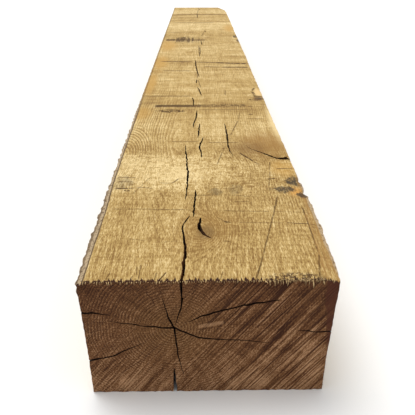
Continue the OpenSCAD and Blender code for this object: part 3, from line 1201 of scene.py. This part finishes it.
def splinters(sizes):
    """Thin three-sided spikes rooted in the front end's upper arris. Most hang over the end, and
    those of a torn clump point every way."""
    chance = np.random.default_rng(7)
    longest = sizes.splinter / MM
    points, faces, tones = [], [], []
    spots = [(across, False) for across in np.arange(-HALF + 3, HALF - 2, 2.3)]
    spots += [(across, True) for across in np.arange(57, 117, 0.45)]
    for across, clump in spots:
        size = longest * (0.2 + 0.8 * chance.uniform(0, 1) ** 1.8)
        width = chance.uniform(0.5, 1.2)
        root = np.array((across, chance.uniform(0.4, 1.6), HEIGHT - chance.uniform(0.5, 1.2)))
        aside = chance.uniform(-0.35, 0.35) * size
        if clump:
            root[ALONG] += chance.uniform(-0.5, 3)
            size *= 1.5
            width *= 1.3
            tip = root + (aside, -chance.uniform(0, 1) * size, chance.uniform(-0.9, 0.7) * size)
            middle = (root + tip) / 2 + (0, -0.2 * size, 0.1 * size)
        else:
            middle = np.array((across + aside / 2, -0.5, HEIGHT - 0.4 * size))
            tip = np.array((across + aside, -chance.uniform(0.3, 1.2), HEIGHT - size))
        first = len(points)
        beside = np.array((width / 2, 0, 0))
        above = np.array((0, -0.35, 0.3)) * width
        for centre, share in ((root, 1.0), (middle, 0.8)):
            points += [centre - beside * share, centre + beside * share, centre + above * share]
        points.append(tip)
        a, b, c, d, e, f, g = range(first, first + 7)
        faces += [(a, c, b), (a, b, e, d), (b, c, f, e), (c, a, d, f), (d, e, g), (e, f, g), (f, d, g)]
        tones += [chance.uniform(0, 1)] * 7
    return np.array(points), faces, tones


class SLEEPER_OT_stage(bpy.types.Operator):
    """Set out the floor, the light and the camera"""

    bl_idname = "sleeper.stage"
    bl_label = "Stage"

    def execute(self, context):
        stage = context.scene.sleeper_stage
        pale_floor(stage)
        soft_light(context.scene, stage)
        standing_camera(context.scene)
        return {"FINISHED"}


def pale_floor(stage):
    """A wide plain floor just under the sleeper."""
    reach = 30.0
    mesh = bpy.data.meshes.new("floor")
    corners = [(-reach, -reach, 0), (reach, -reach, 0), (reach, reach, 0), (-reach, reach, 0)]
    mesh.from_pydata(corners, [], [(0, 1, 2, 3)])
    floor = bpy.data.objects.new("floor", mesh)
    bpy.context.scene.collection.objects.link(floor)
    paint = bpy.data.materials.new("floor paint")
    paint.use_nodes = True
    surface = paint.node_tree.nodes["Principled BSDF"]
    surface.inputs["Base Color"].default_value = (*stage.floor, 1)
    surface.inputs["Roughness"].default_value = 0.9
    surface.inputs["Specular IOR Level"].default_value = 0.1
    mesh.materials.append(paint)


def soft_light(scene, stage):
    """Even white light all round, and one wide soft lamp above."""
    world = bpy.data.worlds.new("surround")
    world.use_nodes = True
    background = world.node_tree.nodes["Background"]
    background.inputs["Color"].default_value = (1, 1, 1, 1)
    background.inputs["Strength"].default_value = stage.surround
    scene.world = world
    lamp = bpy.data.lights.new("overhead", "SUN")
    lamp.energy = stage.overhead
    lamp.angle = math.radians(35)
    overhead = bpy.data.objects.new("overhead", lamp)
    overhead.rotation_euler = Euler((math.radians(-18), math.radians(-14), 0))
    scene.collection.objects.link(overhead)
    scene.view_settings.view_transform = "Standard"


def standing_camera(scene):
    """A camera held above the front end and looking down along the sleeper."""
    left, back, high = 0.0085, 0.4302, 0.4441
    down, turned = math.radians(28.12), math.radians(0.99)
    eye = bpy.data.cameras.new("camera")
    eye.lens = 45.2
    eye.sensor_width = 36
    eye.shift_y = 0.04
    eye.clip_start = 0.01
    camera = bpy.data.objects.new("camera", eye)
    camera.location = (-left, FRONT * MM - back, high)
    camera.rotation_euler = Euler((math.radians(90) - down, 0, -turned))
    scene.collection.objects.link(camera)
    scene.camera = camera


class SLEEPER_PT_panel(bpy.types.Panel):
    """Settings and buttons of the sleeper"""

    bl_label = "Oak Sleeper"
    bl_idname = "SLEEPER_PT_panel"
    bl_space_type = "VIEW_3D"
    bl_region_type = "UI"
    bl_category = "Sleeper"

    def draw(self, context):
        for group in (context.scene.sleeper_sizes, context.scene.sleeper_colours,
                      context.scene.sleeper_stage):
            box = self.layout.box()
            for name in group.__annotations__:
                box.prop(group, name)
        for operator in OPERATORS:
            self.layout.operator(operator.bl_idname)


OPERATORS = (SLEEPER_OT_baulk, SLEEPER_OT_splinters, SLEEPER_OT_stage)
SETTINGS = {
    "sleeper_sizes": SleeperSizes,
    "sleeper_colours": SleeperColours,
    "sleeper_stage": SleeperStage,
}


def register():
    for kind in (*SETTINGS.values(), *OPERATORS, SLEEPER_PT_panel):
        bpy.utils.register_class(kind)
    for name, kind in SETTINGS.items():
        setattr(bpy.types.Scene, name, bpy.props.PointerProperty(type=kind))


def unregister():
    for name in SETTINGS:
        delattr(bpy.types.Scene, name)
    for kind in reversed((*SETTINGS.values(), *OPERATORS, SLEEPER_PT_panel)):
        bpy.utils.unregister_class(kind)


def main():
    register()
    bpy.ops.sleeper.baulk()
    bpy.ops.sleeper.splinters()
    bpy.ops.sleeper.stage()


if __name__ == "__main__":
    main()
